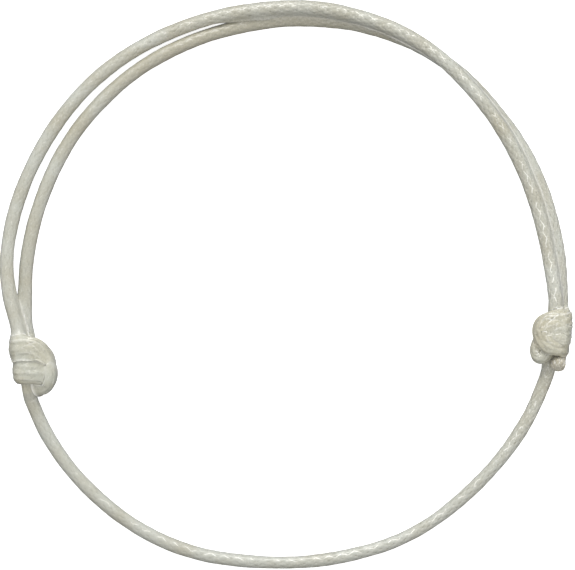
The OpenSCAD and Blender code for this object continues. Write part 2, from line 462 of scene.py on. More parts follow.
@dataclass(frozen=True)
class Wear:
    """How the cord varies along its length.

    Each table has a row for a stretch: the stretch, then its stops. A stop is a place in the
    stretch, from 0 at its start to 1 at its end, and the value there.
    """

    # Share of the braid's relief that shows
    relief: tuple[tuple, ...] = (
        (Stretch.LEFT_WRAPS, (0.0, 0.7), (1.0, 0.55)),
        (Stretch.BACK_RUN, (0.35, 0.55), (0.65, 1.2)),
        (Stretch.RIGHT_CORE, (0.5, 1.3)),
        (Stretch.LOWER_RUN, (0.15, 1.1), (0.6, 0.65)),
        (Stretch.LEFT_CORE, (0.5, 0.5)),
        (Stretch.FRONT_RUN, (0.3, 0.6), (0.5, 1.2)),
        (Stretch.RIGHT_WRAPS, (0.3, 1.3), (0.65, 1.6), (0.8, 0.8), (0.9, 1.0), (1.0, 4.0)),
    )
    # How strongly a white highlight is painted on the cord's side that faces the light
    white: tuple[tuple, ...] = (
        (Stretch.LEFT_WRAPS, (0.0, 0.4), (0.9, 0.3)),
        (Stretch.BACK_RUN, (0.3, 0.25), (0.5, 0.4), (0.7, 0.9)),
        (Stretch.RIGHT_CORE, (0.5, 0.9)),
        (Stretch.LOWER_RUN, (0.3, 1.0), (0.7, 0.7)),
        (Stretch.LEFT_CORE, (0.5, 0.3)),
        (Stretch.FRONT_RUN, (0.3, 0.3), (0.5, 0.65), (0.7, 0.9)),
        (Stretch.RIGHT_WRAPS, (0.3, 1.2), (0.5, 0.8), (1.0, 0.7)),
    )
    # How yellow the wax has become, and painted shade in the same darker tone where the back strand
    # runs under the front one at the top
    yellow_and_shade: tuple[tuple, ...] = (
        (Stretch.LEFT_WRAPS, (0.0, 0.5)),
        (
            Stretch.BACK_RUN,
            (0.05, 0.4), (0.22, 0.7), (0.35, 1.3), (0.5, 2.2),
            (0.58, 1.6), (0.68, 0.2), (0.9, 0.5),
        ),
        (Stretch.RIGHT_CORE, (0.9, 0.8)),
        (Stretch.LOWER_RUN, (0.15, 0.1), (0.5, 0.0), (0.85, 0.2)),
        (Stretch.LEFT_CORE, (0.5, 0.5)),
        (Stretch.FRONT_RUN, (0.3, 0.45), (0.48, 0.8), (0.7, 0.4)),
        (Stretch.RIGHT_WRAPS, (0.4, 0.7), (1.0, 1.2)),
    )
    # How far wax and pressure round off the groove between two turns that touch, in millimetres
    fill: tuple[tuple, ...] = (
        (Stretch.LEFT_WRAPS, (0.0, 0.25), (0.15, 0.95), (1.0, 1.0)),
        (Stretch.BACK_RUN, *SIDE_BY_SIDE),
        (Stretch.RIGHT_CORE, (0.3, 0.8), (1.0, 0.3)),
        (Stretch.LOWER_RUN, (0.95, 0.4)),
        (Stretch.LEFT_CORE, (0.5, 0.6), (1.0, 1.0)),
        (Stretch.FRONT_RUN, *SIDE_BY_SIDE),
        (
            Stretch.RIGHT_WRAPS,
            (0.05, 0.8), (0.15, 0.5), (0.3, 0.5),
            (0.4, 0.7), (0.9, 0.5), (1.0, 0.2),
        ),
    )
    # The painted highlight lies on the side that faces halfway between the camera and the top
    # softbox: uppermost, turned a little to the top of the loop. How wide its band is, in radians,
    # and how much the cord may slope there
    lit_side: tuple[float, float, float] = (0.0, 0.31, 0.95)
    highlight_band: float = 0.28
    highlight_slope: float = 0.5
    # Thickness against the cord's own
    thickness: tuple[tuple, ...] = (
        (Stretch.RIGHT_CORE, (1.0, 1.0)),
        (Stretch.LOWER_RUN, (0.1, 0.97), (0.33, 0.87), (0.42, 0.95), (0.52, 0.88), (0.65, 0.98)),
        (Stretch.LEFT_CORE, (0.0, 1.0)),
    )

    @staticmethod
    def along(route: Route, table: tuple, length: np.ndarray) -> np.ndarray:
        """The value of a table at each length of cord.

        Args:
            route: The way of the cord.
            table: The table, with its stops in the cord's order.
            length: Places along the cord, in metres.

        Returns:
            A value for each place.
        """
        places, values = [], []
        for stretch, *stops in table:
            first = route.first_row(stretch)
            start = route.length_at(first)
            end = route.length_at(first + len(route.stretches[stretch]) - 1)
            places += [start + (end - start) * part for part, _ in stops]
            values += [value for _, value in stops]
        return np.interp(length, places, values)

    def highlight_white(self, line: Line, place: np.ndarray, held: np.ndarray) -> np.ndarray:
        """How strongly a highlight is painted white at each place of the cord's smooth surface.

        Args:
            line: The rings' places.
            place: The surface's points, a row for each ring.
            held: How tightly each ring is held, up to 1. There the band is wider by half.

        Returns:
            A share from 0 to 1 for each point.
        """
        if len(place) < 3:
            return np.zeros(place.shape[:2])
        faces = unit(np.cross(np.gradient(place, axis=1), np.gradient(place, axis=0)))
        outwards = np.sign((faces * (place - line.place[:, None])).sum(2).mean())
        side = unit(np.array(self.lit_side))
        slope = line.tangent @ side
        across = unit(side - line.tangent * slope[:, None])
        angle = np.arccos(np.clip((faces * outwards * across[:, None]).sum(2), -1, 1))
        lies = np.exp(-((slope / self.highlight_slope) ** 2))
        return np.exp(-((angle / (self.highlight_band * (1 + held / 2))) ** 4)) * lies[:, None]


@dataclass(frozen=True)
class Turns:
    """The whole cord's smooth surface as rings, to find where one turn of it lies on another."""

    length: np.ndarray
    rings: np.ndarray
    # Two places belong to different turns if there is this much cord between them
    apart: float = 2.6 * MM
    # The cord that is looked at in one go, and the most that a surface is from the cord's middle
    chunk: float = 0.3 * MM
    body: float = 1.2 * MM

    def tree(self, chosen: np.ndarray) -> BVHTree:
        """A search tree of the surface between chosen rings.

        Args:
            chosen: Whether each ring is chosen.

        Returns:
            The tree, which is empty where no two chosen rings follow each other.
        """
        first = np.nonzero(chosen[:-1] & chosen[1:])[0]
        sides = self.rings.shape[1]
        spot = np.arange(sides)
        after = (spot + 1) % sides
        quad = np.stack([spot, after, after + sides, spot + sides], 1)
        faces = quad[None] + (2 * sides * np.arange(len(first)))[:, None, None]
        places = np.stack([self.rings[first], self.rings[first + 1]], 1)
        return BVHTree.FromPolygons(places.reshape(-1, 3).tolist(), faces.reshape(-1, 4).tolist())

    def beside(self, length: np.ndarray, points: np.ndarray, reach: float) -> tuple:
        """How far points of the surface are from the cord's other turns.

        Args:
            length: The length of cord at each ring of points.
            points: The points, a row for each ring.
            reach: The greatest distance that counts, in metres.

        Returns:
            The distance at each point, and the direction away from the other turn.
        """
        gap = np.full(points.shape[:2], reach)
        away = np.zeros_like(points)
        middle = self.rings.mean(1)
        chunks = np.floor(length / self.chunk).astype(int)
        for chunk in np.unique(chunks):
            own = np.nonzero(chunks == chunk)[0]
            low = points[own].min((0, 1)) - reach - self.body
            high = points[own].max((0, 1)) + reach + self.body
            near = np.all((middle > low) & (middle < high), 1)
            near &= np.abs(self.length - (chunk + 0.5) * self.chunk) > self.apart
            if near.sum() < 2:
                continue
            tree = self.tree(near)
            for ring in own:
                for spot, point in enumerate(points[ring]):
                    found, normal, _, distance = tree.find_nearest(point, reach)
                    if found is not None:
                        gap[ring, spot] = distance
                        away[ring, spot] = normal
        return gap, away


@dataclass(frozen=True)
class Section:
    """The cord's cross-section, round in the runs and pressed flat in a tight wrap."""

    route: Route
    braid: Braid
    wear: Wear
    sides: int = 64
    # Width and thickness of a tight wrap, in cord diameters
    wrap_width: float = 1.45
    wrap_thickness: float = 0.7
    # Distance from the knot's middle line over which a wrap becomes flat
    press_reach: float = 0.5 * MM
    # How much squarer than an ellipse a tight wrap is
    squareness: float = 0.15
    # Ridges along a tight wrap, where the yarns bunch: how many go round, their height and the
    # length of cord over which each comes and goes
    ridges: tuple[tuple[int, float, float], ...] = (
        (11, 0.035 * MM, 5.3 * MM),
        (7, 0.04 * MM, 7.1 * MM),
        (17, 0.015 * MM, 3.7 * MM),
    )
    # How far a ridge sways round the cord, in radians of its wave, and how much its height varies
    ridge_sway: float = 1.5
    ridge_swell: float = 0.4
    # Folds across the inner side of a tight bend
    fold_depth: float = 0.15 * MM
    fold_spacing: float = 0.62 * MM
    # How much of a bend stays free of folds, as the bend's curvature times the cord's radius, and
    # the most beyond this that still deepens them
    fold_free: float = 0.22
    fold_most: float = 0.6
    # How strongly a fold brings out the ridges, as in a tight wrap
    fold_bunches: float = 4.0
    # The height in the braid's relief at which the smooth surface lies, as a share of its span
    relief_middle: float = 0.6
    # Slow unevenness of the cord's thickness
    lumps: tuple[tuple[float, float], ...] = ((0.015, 8.7 * MM), (0.01, 3.9 * MM))
    # Rings and sides of the coarse surface on which one turn of the cord finds another
    coarse_pitch: float = 0.2 * MM
    coarse_sides: int = 32
    # The least slope of the joined field that counts, so that the bottom of a groove doesn't jump
    # out, and how much of the braid's relief the wax in it hides
    least_slope: float = 0.35
    fill_hides: float = 0.6
    # Light painted into such a groove of a run, which lightens the shade there: how white it is,
    # how much less so in a tight wrap, and how closely the white keeps to the groove's bottom
    groove_light: float = 0.85
    held_less_light: float = 0.75
    fill_narrows: int = 4
    # Highlights painted on the ridges of a tight wrap: how white they are, and how soon they reach
    # that white
    ridge_highlight: float = 0.4
    ridge_whitens: float = 1.5
    # A highlight painted on a fold's crest: the fold at which the crest is white all over, and how
    # narrow that crest is
    crest_highlight_at: float = 0.3
    crest_narrows: int = 3

    def bend(self, line: Line) -> np.ndarray:
        """How the cord bends: the direction to the inner side, times the curvature."""
        if len(line.length) < 3:
            return np.zeros_like(line.tangent)
        return np.gradient(line.tangent, line.length, axis=0)

    def smooth(self, line: Line, scale: np.ndarray, turn: np.ndarray) -> dict[str, np.ndarray]:
        """The cord's surface without the relief of the braid.

        Args:
            line: The rings' places.
            scale: The size of each ring against the cord's.
            turn: Places round the cord, in turns.

        Returns:
            Arrays with a row per ring and a column per point: its place, the way outwards, the
            direction from the cord's middle before it is pressed, and how tightly it is held.
        """
        angle = 2 * math.pi * turn[None, :, None]
        up = np.cross(line.tangent, line.side)
        direction = line.side[:, None] * np.cos(angle) + up[:, None] * np.sin(angle)
        height = np.full(len(line.core_x), self.route.core_height * MM)
        away = line.place - np.stack([line.core_x, line.place[:, 1], height], 1)
        outward = away - line.tangent * (away * line.tangent).sum(1, keepdims=True)
        reach = np.linalg.norm(outward, axis=1)
        hold = (np.maximum(line.flatness, 0) * np.minimum(1, reach / self.press_reach))[:, None]
        normal = unit(outward)[:, None]
        thin = (direction * normal).sum(2)
        wide = direction - normal * thin[..., None]
        power = 2 + self.squareness * hold
        spread = np.linalg.norm(wide, axis=2)
        square = (np.abs(thin) ** power + spread**power) ** (-1 / power)
        shape = (
            normal * (thin * (1 + (self.wrap_thickness - 1) * np.minimum(1, hold)))[..., None]
            + wide * (1 + (self.wrap_width - 1) * hold)[..., None]
        ) * square[..., None]
        thickness = self.wear.along(self.route, self.wear.thickness, line.length) + sum(
            size * np.sin(2 * math.pi * line.length / spacing) for size, spacing in self.lumps
        )
        radius = self.route.cord_d / 2 * MM * scale * thickness
        place = line.place[:, None] + shape * radius[:, None, None]
        return {"place": place, "outward": unit(shape), "direction": direction, "hold": hold}

    @cached_property
    def turns(self) -> Turns:
        """The whole cord's surface, in coarse rings."""
        line = self.route.between(0, self.route.last_row, self.coarse_pitch)
        turn = np.arange(self.coarse_sides) / self.coarse_sides
        return Turns(line.length, self.smooth(line, np.ones(len(line.length)), turn)["place"])

    def bunched(self, line: Line, turn: np.ndarray) -> np.ndarray:
        """The height of the ridges along the cord where it is held tight.

        Args:
            line: The rings' places.
            turn: Places round the cord, in turns.

        Returns:
            The height at each point, in metres.
        """
        height = np.zeros((len(line.length), len(turn)))
        for count, size, spell in self.ridges:
            along = 2 * math.pi * line.length[:, None] / spell
            sway = self.ridge_sway * np.sin(along / 2)
            wave = np.cos(2 * math.pi * count * turn[None, :] + sway)
            swell = 1 - self.ridge_swell + self.ridge_swell * np.sin(along + count)
            height += size * wave * swell
        return height

    def filled(self, line: Line, surface: dict[str, np.ndarray]) -> tuple[np.ndarray, np.ndarray]:
        """The smooth surface with the grooves between touching turns rounded off.

        The two surfaces are joined as distance fields with a soft minimum, and each point moves out
        to where the joined field is zero.

        Args:
            line: The rings' places.
            surface: The smooth surface.

        Returns:
            The points' places, and how deep in a groove each of them lies, from 0 to 1.
        """
        soft = self.wear.along(self.route, self.wear.fill, line.length)[:, None] * MM
        gap, away = self.turns.beside(line.length, surface["place"], float(soft.max()))
        depth = np.clip(1 - gap / soft, 0, 1)
        slope = surface["outward"] * (1 - depth / 2)[..., None] + away * (depth / 2)[..., None]
        steep = np.maximum(np.linalg.norm(slope, axis=2), self.least_slope)
        moved = slope * (soft * depth**2 / 4 / steep**2)[..., None]
        return surface["place"] + moved, depth

    def points(self, line: Line, scale: np.ndarray, shown: np.ndarray) -> dict[str, np.ndarray]:
        """The cord's surface as rings of points.

        Args:
            line: The rings' places.
            scale: The size of each ring against the cord's.
            shown: How much of the relief is left at each ring, from 0 to 1.

        Returns:
            Arrays with a row per ring and a column per point: its place, its two numbers in the
            braid, and its value of each of the mesh's own data.
        """
        turn = np.arange(self.sides + 1) / self.sides
        surface = self.smooth(line, scale, turn)
        place, depth = self.filled(line, surface)
        values = {
            name: self.wear.along(self.route, getattr(self.wear, name), line.length)[:, None]
            for name in ("relief", "white", "yellow_and_shade")
        }
        share = values["relief"] * shown[:, None] * (1 - self.fill_hides * depth)
        a, b = self.braid.crossing(turn[None, :], line.length[:, None])
        stands = (self.braid.relief(a, b) - self.relief_middle * self.braid.span) * share
        inner = (surface["direction"] * self.bend(line)[:, None]).sum(2)
        inner = inner * self.route.cord_d / 2 * MM
        folded = np.clip(inner - self.fold_free, 0, self.fold_most)
        valley = 0.5 + 0.5 * np.cos(2 * math.pi * line.length[:, None] / self.fold_spacing)
        stands = stands - self.fold_depth * folded * valley**2
        held = np.clip(surface["hold"], 0, 1)
        ridges = self.bunched(line, turn)
        stands = stands + ridges * np.clip(held + self.fold_bunches * folded, 0, 1)
        highest = sum(size for _, size, _ in self.ridges)
        # Painted highlights on fold crests and on a tight wrap's ridges, and light painted into the
        # grooves between touching turns
        whitened = (
            np.clip(folded / self.crest_highlight_at, 0, 1) * (1 - valley) ** self.crest_narrows,
            self.groove_light * depth**self.fill_narrows * (1 - self.held_less_light * held),
            self.ridge_highlight
            * held
            * np.clip(self.ridge_whitens * ridges / highest, 0, 1) ** 2,
        )
        return {
            "place": place + surface["outward"] * stands[..., None],
            CROSSING: np.stack([a, b], 2),
            SHOWS: share,
            PAINTED_HIGHLIGHT: self.wear.highlight_white(line, place, held) * values["white"],
            PAINTED_LIGHT: np.maximum.reduce(whitened),
            YELLOW_AND_SHADE: np.broadcast_to(values["yellow_and_shade"], a.shape),
        }


class Tip(Enum):
    """Which end of a tube is a rounded, sealed tip."""

    NONE = 0
    FIRST = -1
    LAST = 1


@dataclass(frozen=True)
class Tube:
    """A length of the cord between two rows, as a closed mesh."""

    section: Section
    first: int
    last: int
    tip: Tip = Tip.NONE
    pitch: float = 0.085 * MM
    tip_rings: int = 14
    # How far the melt thickens the cord towards a sealed tip, and how much braid it leaves
    melt: float = 0.05
    melt_shows: float = 0.8

    def rings(self) -> tuple[Line, np.ndarray, np.ndarray]:
        """The tube's rings.

        Returns:
            The rings, their size against the cord's and how much of the relief is left.
        """
        line = self.section.route.between(self.first, self.last, self.pitch)
        share = np.linspace(0, 1, len(line.length))
        if self.tip is Tip.NONE:
            return line, np.ones(len(share)), np.ones(len(share))
        towards = share if self.tip is Tip.LAST else 1 - share
        scale = 1 + self.melt * towards**2 * (3 - 2 * towards)
        return self.rounded(line, scale, 1 - (1 - self.melt_shows) * towards)

    def rounded(self, line: Line, scale: np.ndarray, shown: np.ndarray) -> tuple:
        """The rings with those of a rounded tip added beyond the sealed end.

        Args:
            line: The rings before the tip.
            scale: Their size.
            shown: How much of the relief is left there.

        Returns:
            The same three for the whole tube.
        """
        end = -1 if self.tip is Tip.LAST else 0
        angles = np.linspace(0, math.pi / 2, self.tip_rings + 1)[1:]
        radius = self.section.route.cord_d / 2 * MM * scale[end]
        forward = np.sin(angles) * radius * self.tip.value
        count = self.tip_rings
        tip = Line(
            line.place[end] + line.tangent[end] * forward[:, None],
            np.repeat(line.tangent[[end]], count, 0),
            np.repeat(line.side[[end]], count, 0),
            np.zeros(count),
            np.repeat(line.core_x[[end]], count),
            line.length[end] + forward,
        )
        order = slice(None) if self.tip is Tip.LAST else slice(None, None, -1)

        def joined(body: np.ndarray, added: np.ndarray) -> np.ndarray:
            """One array of the body's rows and the tip's, in the cord's order."""
            both = [body, added[order]]
            return np.concatenate(both if self.tip is Tip.LAST else both[::-1])

        names = ("place", "tangent", "side", "flatness", "core_x", "length")
        whole = Line(*[joined(getattr(line, n), getattr(tip, n)) for n in names])
        fade = np.cos(angles)
        return whole, joined(scale, scale[end] * fade), joined(shown, shown[end] * fade)

    def add_to(self, bm: bmesh.types.BMesh) -> np.ndarray:
        """Adds the tube to a mesh: a grid that is rolled round the cord's route.

        Args:
            bm: The mesh to which it is added.

        Returns:
            The middles of the tube's rings.
        """
        line, scale, shown = self.rings()
        points = self.section.points(line, scale, shown)
        made = bmesh.ops.create_grid(
            bm, x_segments=len(scale) - 1, y_segments=self.section.sides, size=0.5
        )["verts"]
        at = np.array([v.co for v in made])
        ring = np.rint((at[:, 0] + 0.5) * (len(scale) - 1)).astype(int)
        spot = np.rint((at[:, 1] + 0.5) * self.section.sides).astype(int)
        crossing = bm.loops.layers.uv[CROSSING]
        for v, place, pair in zip(made, points["place"][ring, spot], points[CROSSING][ring, spot]):
            v.co = place
            for loop in v.link_loops:
                loop[crossing].uv = pair
        # The layers are named for the values that they hold
        for name, layer in bm.verts.layers.float.items():
            for v, value in zip(made, points[name][ring, spot]):
                v[layer] = value
        return line.place


@dataclass
class Piece:
    """A named piece of the bracelet that stands for a node of the frame."""

    node: str
    tubes: tuple[Tube, ...]
    material: bpy.types.Material
    slot: str
    # The middles of each tube's rings, once it is built
    paths: list[np.ndarray] = field(default_factory=list)

    def build(self) -> bpy.types.Object:
        """Builds the piece's mesh and sets it on its body in place of its node.

        Returns:
            The piece.
        """
        bm = bmesh.new()
        for name in (SHOWS, PAINTED_HIGHLIGHT, PAINTED_LIGHT, YELLOW_AND_SHADE):
            bm.verts.layers.float.new(name)
        bm.loops.layers.uv.new(CROSSING)
        self.paths = [tube.add_to(bm) for tube in self.tubes]
        bmesh.ops.remove_doubles(bm, verts=bm.verts, dist=1e-8)
        for face in bm.faces:
            face.smooth = True
        open_edges = [e for e in bm.edges if e.is_boundary]
        for edge in open_edges:
            edge.smooth = False
        bmesh.ops.holes_fill(bm, edges=open_edges, sides=0)
        bmesh.ops.recalc_face_normals(bm, faces=bm.faces)
        mesh = bpy.data.meshes.new(self.node + "_cord")
        bm.to_mesh(mesh)
        bm.free()
        mesh.materials.append(self.material)
        piece = bpy.data.objects.new(self.node + "_cord", mesh)
        bpy.context.scene.collection.objects.link(piece)
        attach(piece, BODY)
        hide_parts(self.node)
        log.info("%s: %d faces", piece.name, len(mesh.polygons))
        return piece


@dataclass
class Strand(Piece):
    """A run of the cord between the two knots."""

    def build(self) -> bpy.types.Object:
        """Returns:
            The piece.
        """
        piece = super().build()
        return piece


def linear(colour: str) -> tuple[float, float, float, float]:
    """A colour in linear light from its sRGB hex value.

    Args:
        colour: Six hex digits after a hash sign.

    Returns:
        Red, green, blue and an alpha of one.
    """
    parts = [int(colour[i : i + 2], 16) / 255 for i in (1, 3, 5)]
    return (*[c / 12.92 if c <= 0.04045 else ((c + 0.055) / 1.055) ** 2.4 for c in parts], 1.0)


def add_node(
    tree: bpy.types.NodeTree, kind: str, inputs: dict | tuple, output: int | str = 0, **settings
) -> bpy.types.NodeSocket | None:
    """Adds a node with its settings and links.

    Args:
        tree: The node tree of the material or the room.
        kind: The node's type, without the word ShaderNode before it, or a sum in capitals.
        inputs: A value or another node's output for each input, by name, by number or in order.
        output: The name or number of the output that is wanted.
        settings: The node's own settings.

    Returns:
        That output, or None where the node has no outputs.
    """
    if kind.isupper():
        kind, settings = "Math", {"operation": kind}
    node = tree.nodes.new("ShaderNode" + kind)
    for name, value in settings.items():
        setattr(node, name, value)
    for name, value in (inputs if isinstance(inputs, dict) else dict(enumerate(inputs))).items():
        if isinstance(value, bpy.types.NodeSocket):
            tree.links.new(value, node.inputs[name])
        else:
            node.inputs[name].default_value = value
    return node.outputs[output] if node.outputs else None


@dataclass(frozen=True)
class WaxedPolyester:
    """Braided polyester cord drawn through hot wax.

    The yarns are off-white with a satin sheen. The wax gathers in the creases between them as
    fine glossy lines. Where they cross the band that faces the light above, these lines are also
    painted white as a highlight, so that they show as a bright zigzag along the cord's middle.
    """

    name: str
    braid: Braid
    back: str = "#b9baaf"
    # Darker colour painted into the hollows between yarns, as painted shade
    hollow_shade: str = "#8d8b7a"
    warm: str = "#aba794"
    roughness: float = 0.5
    # How much wax lies on the yarns, and how glossy it is
    film: float = 0.65
    wax_roughness: float = 0.24
    # The sheen of the finest fibres, which shows along the cord's edges
    sheen: float = 0.25
    sheen_tint: str = "#e4e5f2"
    # The white of the painted highlights, and of the light painted into grooves
    highlight_white: str = "#faf9f0"
    # How much the bloom on the wax varies, and the most braid that still adds to it
    bloom: float = 0.6
    bloom_most: float = 1.4
    # How white the lines of wax are outside the band of painted highlight
    line_white: float = 0.0
    # How patchy the lines of wax are, from 0.35 where they are whole to 0.75 where few are left,
    # how softly each ends, and how much more of them is left where the braid shows
    gathers: float = 0.56
    gather_edge: float = 0.14
    gather_shown: float = 0.15
    # Half the width of a line of wax and its height
    line_width: float = 0.09 * MM
    line_height: float = 0.016 * MM
    # Filaments to a yarn's width, and how much of the braid's own relief they have
    filaments: float = 4.0
    filament_height: float = 0.3
    # How many patches of warmer wax, gatherings of wax and specks of bloom go to a metre
    patches_to_metre: float = 260.0
    gathers_to_metre: float = 700.0
    specks_to_metre: float = 5200.0
    # The noise between which the wax turns warm, and how much yellowing and painted shade add to it
    warm_between: tuple[float, float] = (0.45, 0.85)
    yellow_and_shade_adds: float = 0.25
    # How much lighter some yarns and filaments are than others, and the height between which the
    # painted shade of a hollow turns to a yarn's back
    yarn_varies: float = 0.25
    filament_varies: float = 1.4
    back_between: tuple[float, float] = (0.3, 0.9)

    def yarns(self, tree: bpy.types.NodeTree) -> dict[str, bpy.types.NodeSocket]:
        """Works out the braid at each place from its two numbers.

        Args:
            tree: The material's node tree.

        Returns:
            The distance to the nearest crease, the relief's height from 0 to 1, a place for the
            filaments' pattern and one for chance.
        """
        add = partial(add_node, tree)
        braid = self.braid
        crossing = add("UVMap", (), "UV", uv_map=CROSSING)
        place = {
            way: add("SeparateXYZ", (crossing,), axis) for way, axis in (("a", "X"), ("b", "Y"))
        }
        wave, crown = braid.wave / braid.span, braid.crown / braid.span
        whole, part = (
            {way: add(step, (n,)) for way, n in place.items()} for step in ("FLOOR", "FRACT")
        )
        edge = {way: add("PINGPONG", (n, 0.5)) for way, n in place.items()}
        turns = {way: add("FLOORED_MODULO", (n, float(braid.yarns))) for way, n in whole.items()}

        def height(own: str, other: str, sign: float) -> bpy.types.NodeSocket:
            """The height of the yarns wound one way, as they pass over and under the others."""
            across = add("MULTIPLY_ADD", (part[own], 2.0, -1.0))
            rest = add("MULTIPLY_ADD", (across, add("MULTIPLY", (across, -1.0)), 1.0))
            back = add("SQRT", (add("MAXIMUM", (rest, 0.0)),))
            passed = add("SUBTRACT", (add("SUBTRACT", (place[other], 0.5)), whole[own]))
            rise = add("COSINE", (add("MULTIPLY", (passed, math.pi)),))
            return add("MULTIPLY_ADD", (rise, sign * wave, add("MULTIPLY", (back, crown))))

        over, under = height("a", "b", 1.0), height("b", "a", -1.0)
        on_top = add("GREATER_THAN", (over, under))
        # The yarns wound the other way are numbered on from beyond the first ones
        beyond = add("ADD", (turns["b"], 11.5))
        yarn = add("Mix", {0: on_top, 2: beyond, 3: turns["a"]})
        across = add("Mix", {0: on_top, 2: part["b"], 3: part["a"]})
        along = add("SUBTRACT", (place["a"], place["b"]))
        strokes = (add("MULTIPLY", (across, self.filaments)), along, yarn)
        cell = (turns["a"], add("SUBTRACT", (whole["a"], whole["b"])))
        crease = add("MINIMUM", (edge["a"], edge["b"]))
        return {
            "crease": add("MULTIPLY", (crease, braid.yarn_width)),
            "height": add("ADD", (add("MAXIMUM", (over, under)), wave)),
            "strokes": add("CombineXYZ", strokes),
            "cell": add("CombineXYZ", cell),
        }

    def material(self) -> bpy.types.Material:
        """Makes the material.

        Returns:
            The material, with patterns that follow the yarns.
        """
        made = bpy.data.materials.new(self.name)
        made.use_nodes = True
        tree = made.node_tree
        tree.nodes.clear()
        add = partial(add_node, tree)
        yarns = self.yarns(tree)
        shows, highlight_white, painted_light, yellowed_and_shaded = (
            add("Attribute", (), "Fac", attribute_name=name)
            for name in (SHOWS, PAINTED_HIGHLIGHT, PAINTED_LIGHT, YELLOW_AND_SHADE)
        )
        place = add("TexCoord", (), "Object")
        patches, gathers, bloom, filaments = (
            add("TexNoise", {"Vector": where, "Scale": scale, "Detail": detail}, "Fac")
            for where, scale, detail in (
                (place, self.patches_to_metre, 3.0),
                (place, self.gathers_to_metre, 1.0),
                (place, self.specks_to_metre, 0.0),
                (yarns["strokes"], 1.0, 2.0),
            )
        )

        # Patches of warmer wax a few millimetres long, more of them where it has yellowed and where
        # shade is painted on the back strand
        age = add("MULTIPLY_ADD", (yellowed_and_shaded, self.yellow_and_shade_adds, patches))
        low, high = self.warm_between
        warmth = add("MapRange", {"Value": age, "From Min": low, "From Max": high})
        tones = {0: warmth, 6: linear(self.back), 7: linear(self.warm)}
        tone = add("Mix", tones, 2, data_type="RGBA")

        # Filaments are drawn out along the yarn. The hollows beside each yarn's back are painted
        # darker as painted shade, and some yarns and filaments are lighter than others
        chance = add("TexWhiteNoise", {"Vector": yarns["cell"]}, "Value")
        lit = add("MULTIPLY_ADD", (chance, self.yarn_varies, yarns["height"]))
        varies = self.filament_varies
        lit = add("ADD", (lit, add("MULTIPLY_ADD", (filaments, varies, -varies / 2))))
        low, high = self.back_between
        share = add(
            "MapRange",
            {"Value": lit, "From Min": low, "From Max": high},
            interpolation_type="SMOOTHSTEP",
        )
        hidden = add("SUBTRACT", (1.0, add("MULTIPLY", (shows, shows))))
        cover = add("MAXIMUM", (share, hidden))
        yarn = add("Mix", {0: cover, 6: linear(self.hollow_shade), 7: tone}, 2, data_type="RGBA")

        # Lines of wax in the creases, whole where the braid shows and broken where it is smooth
        left = add("MULTIPLY_ADD", (shows, self.gather_shown, gathers))
        kept = add(
            "MapRange",
            {"Value": left, "From Min": self.gathers, "From Max": self.gathers + self.gather_edge},
            interpolation_type="SMOOTHSTEP",
        )
        line = add(
            "MapRange",
            {"Value": yarns["crease"], "From Max": self.line_width, "To Min": 1.0, "To Max": 0.0},
            interpolation_type="SMOOTHSTEP",
        )
        wax = add("MULTIPLY", (line, kept))
        # The lines are painted white as a highlight in the band that faces the light, and elsewhere
        # as far as line_white goes
        lines = add("MULTIPLY", (wax, add("MAXIMUM", (highlight_white, self.line_white))))
        # Painted highlights together with the light painted into grooves
        white = add("MAXIMUM", (lines, painted_light))

        # A fine bloom on the wax, in specks of a fifth of a millimetre
        specks = add("MULTIPLY_ADD", (bloom, self.bloom, -self.bloom / 2))
        specks = add("MULTIPLY", (specks, add("MINIMUM", (shows, self.bloom_most))))
        whitened = {0: add("ADD", (white, specks)), 6: yarn, 7: linear(self.highlight_white)}

        relief = add("MULTIPLY_ADD", (filaments, self.filament_height, yarns["height"]))
        relief = add("MULTIPLY", (relief, shows))
        bump = add("Bump", {"Height": relief, "Distance": self.braid.span, "Strength": 0.8})
        beads = {"Height": wax, "Distance": self.line_height, "Strength": 1.0, "Normal": bump}
        surface = {
            "Base Color": add("Mix", whitened, 2, data_type="RGBA"),
            "Normal": bump,
            "Coat Normal": add("Bump", beads),
            "Roughness": self.roughness,
            "IOR": 1.46,
            "Specular IOR Level": 0.4,
            "Subsurface Weight": 0.1,
            "Subsurface Radius": (1.0, 0.9, 0.7),
            "Subsurface Scale": 0.3 * MM,
            "Sheen Weight": self.sheen,
            "Sheen Roughness": 0.3,
            "Sheen Tint": linear(self.sheen_tint),
            "Coat Weight": add("MULTIPLY_ADD", (wax, 1 - self.film, self.film)),
            "Coat Roughness": self.wax_roughness,
            "Coat IOR": 1.6,
        }
        add("OutputMaterial", {"Surface": add("BsdfPrincipled", surface)})
        return made


